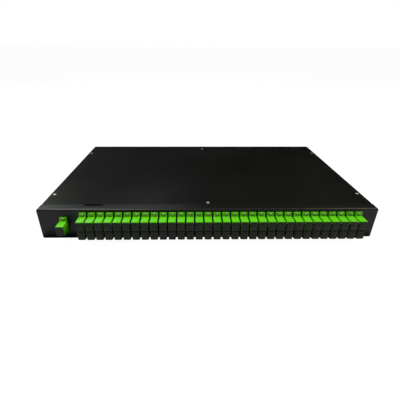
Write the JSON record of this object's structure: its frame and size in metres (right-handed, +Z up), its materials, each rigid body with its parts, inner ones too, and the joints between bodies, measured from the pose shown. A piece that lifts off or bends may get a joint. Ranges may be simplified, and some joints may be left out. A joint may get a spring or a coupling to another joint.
{
  "type": "plc fibre splitter",
  "caption": "Flat black 1U rack box with a screwed cover and a front row of green SC fibre adapters, each closed by a pull-out black dust cap.",
  "frame": {"origin": "centre of the chassis's underside, on the surface it rests on", "axes": "+X runs to the right along the front panel, +Y to the rear, +Z up; the adapters face -Y"},
  "size_m": [0.44, 0.2778, 0.0436],
  "materials": {
    "powder_coat": "satin black powder coat, fine texture",
    "screw_steel": "bright zinc plated",
    "insert_steel": "zinc plated",
    "rivet_paint": "black painted",
    "adapter_green": "satin moulded",
    "cap_black": "satin moulded",
    "module_grey": "fine texture",
    "spool_white": "moulded"
  },
  "bodies": {
    "chassis": {"base_tray": "powder_coat", "front_panel": "powder_coat", "top_cover": "powder_coat", "cover_screws": "screw_steel", "cover_inserts": "insert_steel", "panel_rivets": "rivet_paint", "input_adapter": "adapter_green", "adapter_bank_1": "adapter_green", "adapter_bank_2": "adapter_green", "adapter_bank_3": "adapter_green", "adapter_bank_4": "adapter_green", "adapter_screws": "screw_steel", "splitter_module": "module_grey", "fibre_spool_left": "spool_white", "fibre_spool_right": "spool_white", "fibre_saddles": "spool_white", "module_screws": "screw_steel", "spool_screws": "screw_steel"},
    "input_cap_body": {"input_cap": "cap_black"},
    "output_cap_01_body": {"output_cap_01": "cap_black"},
    "output_cap_02_body": {"output_cap_02": "cap_black"},
    "output_cap_03_body": {"output_cap_03": "cap_black"},
    "output_cap_04_body": {"output_cap_04": "cap_black"},
    "output_cap_05_body": {"output_cap_05": "cap_black"},
    "output_cap_06_body": {"output_cap_06": "cap_black"},
    "output_cap_07_body": {"output_cap_07": "cap_black"},
    "output_cap_08_body": {"output_cap_08": "cap_black"},
    "output_cap_09_body": {"output_cap_09": "cap_black"},
    "output_cap_10_body": {"output_cap_10": "cap_black"},
    "output_cap_11_body": {"output_cap_11": "cap_black"},
    "output_cap_12_body": {"output_cap_12": "cap_black"},
    "output_cap_13_body": {"output_cap_13": "cap_black"},
    "output_cap_14_body": {"output_cap_14": "cap_black"},
    "output_cap_15_body": {"output_cap_15": "cap_black"},
    "output_cap_16_body": {"output_cap_16": "cap_black"},
    "output_cap_17_body": {"output_cap_17": "cap_black"},
    "output_cap_18_body": {"output_cap_18": "cap_black"},
    "output_cap_19_body": {"output_cap_19": "cap_black"},
    "output_cap_20_body": {"output_cap_20": "cap_black"},
    "output_cap_21_body": {"output_cap_21": "cap_black"},
    "output_cap_22_body": {"output_cap_22": "cap_black"},
    "output_cap_23_body": {"output_cap_23": "cap_black"},
    "output_cap_24_body": {"output_cap_24": "cap_black"},
    "output_cap_25_body": {"output_cap_25": "cap_black"},
    "output_cap_26_body": {"output_cap_26": "cap_black"},
    "output_cap_27_body": {"output_cap_27": "cap_black"},
    "output_cap_28_body": {"output_cap_28": "cap_black"},
    "output_cap_29_body": {"output_cap_29": "cap_black"},
    "output_cap_30_body": {"output_cap_30": "cap_black"},
    "output_cap_31_body": {"output_cap_31": "cap_black"},
    "output_cap_32_body": {"output_cap_32": "cap_black"}
  },
  "joints": [
    {"name": "input_cap_pull", "type": "slide", "parent": "chassis", "child": "input_cap_body", "axis": [0, -1, 0], "range_m": [0, 0.012]},
    {"name": "output_cap_01_pull", "type": "slide", "parent": "chassis", "child": "output_cap_01_body", "axis": [0, -1, 0], "range_m": [0, 0.012]},
    {"name": "output_cap_02_pull", "type": "slide", "parent": "chassis", "child": "output_cap_02_body", "axis": [0, -1, 0], "range_m": [0, 0.012]},
    {"name": "output_cap_03_pull", "type": "slide", "parent": "chassis", "child": "output_cap_03_body", "axis": [0, -1, 0], "range_m": [0, 0.012]},
    {"name": "output_cap_04_pull", "type": "slide", "parent": "chassis", "child": "output_cap_04_body", "axis": [0, -1, 0], "range_m": [0, 0.012]},
    {"name": "output_cap_05_pull", "type": "slide", "parent": "chassis", "child": "output_cap_05_body", "axis": [0, -1, 0], "range_m": [0, 0.012]},
    {"name": "output_cap_06_pull", "type": "slide", "parent": "chassis", "child": "output_cap_06_body", "axis": [0, -1, 0], "range_m": [0, 0.012]},
    {"name": "output_cap_07_pull", "type": "slide", "parent": "chassis", "child": "output_cap_07_body", "axis": [0, -1, 0], "range_m": [0, 0.012]},
    {"name": "output_cap_08_pull", "type": "slide", "parent": "chassis", "child": "output_cap_08_body", "axis": [0, -1, 0], "range_m": [0, 0.012]},
    {"name": "output_cap_09_pull", "type": "slide", "parent": "chassis", "child": "output_cap_09_body", "axis": [0, -1, 0], "range_m": [0, 0.012]},
    {"name": "output_cap_10_pull", "type": "slide", "parent": "chassis", "child": "output_cap_10_body", "axis": [0, -1, 0], "range_m": [0, 0.012]},
    {"name": "output_cap_11_pull", "type": "slide", "parent": "chassis", "child": "output_cap_11_body", "axis": [0, -1, 0], "range_m": [0, 0.012]},
    {"name": "output_cap_12_pull", "type": "slide", "parent": "chassis", "child": "output_cap_12_body", "axis": [0, -1, 0], "range_m": [0, 0.012]},
    {"name": "output_cap_13_pull", "type": "slide", "parent": "chassis", "child": "output_cap_13_body", "axis": [0, -1, 0], "range_m": [0, 0.012]},
    {"name": "output_cap_14_pull", "type": "slide", "parent": "chassis", "child": "output_cap_14_body", "axis": [0, -1, 0], "range_m": [0, 0.012]},
    {"name": "output_cap_15_pull", "type": "slide", "parent": "chassis", "child": "output_cap_15_body", "axis": [0, -1, 0], "range_m": [0, 0.012]},
    {"name": "output_cap_16_pull", "type": "slide", "parent": "chassis", "child": "output_cap_16_body", "axis": [0, -1, 0], "range_m": [0, 0.012]},
    {"name": "output_cap_17_pull", "type": "slide", "parent": "chassis", "child": "output_cap_17_body", "axis": [0, -1, 0], "range_m": [0, 0.012]},
    {"name": "output_cap_18_pull", "type": "slide", "parent": "chassis", "child": "output_cap_18_body", "axis": [0, -1, 0], "range_m": [0, 0.012]},
    {"name": "output_cap_19_pull", "type": "slide", "parent": "chassis", "child": "output_cap_19_body", "axis": [0, -1, 0], "range_m": [0, 0.012]},
    {"name": "output_cap_20_pull", "type": "slide", "parent": "chassis", "child": "output_cap_20_body", "axis": [0, -1, 0], "range_m": [0, 0.012]},
    {"name": "output_cap_21_pull", "type": "slide", "parent": "chassis", "child": "output_cap_21_body", "axis": [0, -1, 0], "range_m": [0, 0.012]},
    {"name": "output_cap_22_pull", "type": "slide", "parent": "chassis", "child": "output_cap_22_body", "axis": [0, -1, 0], "range_m": [0, 0.012]},
    {"name": "output_cap_23_pull", "type": "slide", "parent": "chassis", "child": "output_cap_23_body", "axis": [0, -1, 0], "range_m": [0, 0.012]},
    {"name": "output_cap_24_pull", "type": "slide", "parent": "chassis", "child": "output_cap_24_body", "axis": [0, -1, 0], "range_m": [0, 0.012]},
    {"name": "output_cap_25_pull", "type": "slide", "parent": "chassis", "child": "output_cap_25_body", "axis": [0, -1, 0], "range_m": [0, 0.012]},
    {"name": "output_cap_26_pull", "type": "slide", "parent": "chassis", "child": "output_cap_26_body", "axis": [0, -1, 0], "range_m": [0, 0.012]},
    {"name": "output_cap_27_pull", "type": "slide", "parent": "chassis", "child": "output_cap_27_body", "axis": [0, -1, 0], "range_m": [0, 0.012]},
    {"name": "output_cap_28_pull", "type": "slide", "parent": "chassis", "child": "output_cap_28_body", "axis": [0, -1, 0], "range_m": [0, 0.012]},
    {"name": "output_cap_29_pull", "type": "slide", "parent": "chassis", "child": "output_cap_29_body", "axis": [0, -1, 0], "range_m": [0, 0.012]},
    {"name": "output_cap_30_pull", "type": "slide", "parent": "chassis", "child": "output_cap_30_body", "axis": [0, -1, 0], "range_m": [0, 0.012]},
    {"name": "output_cap_31_pull", "type": "slide", "parent": "chassis", "child": "output_cap_31_body", "axis": [0, -1, 0], "range_m": [0, 0.012]},
    {"name": "output_cap_32_pull", "type": "slide", "parent": "chassis", "child": "output_cap_32_body", "axis": [0, -1, 0], "range_m": [0, 0.012]}
  ]
}
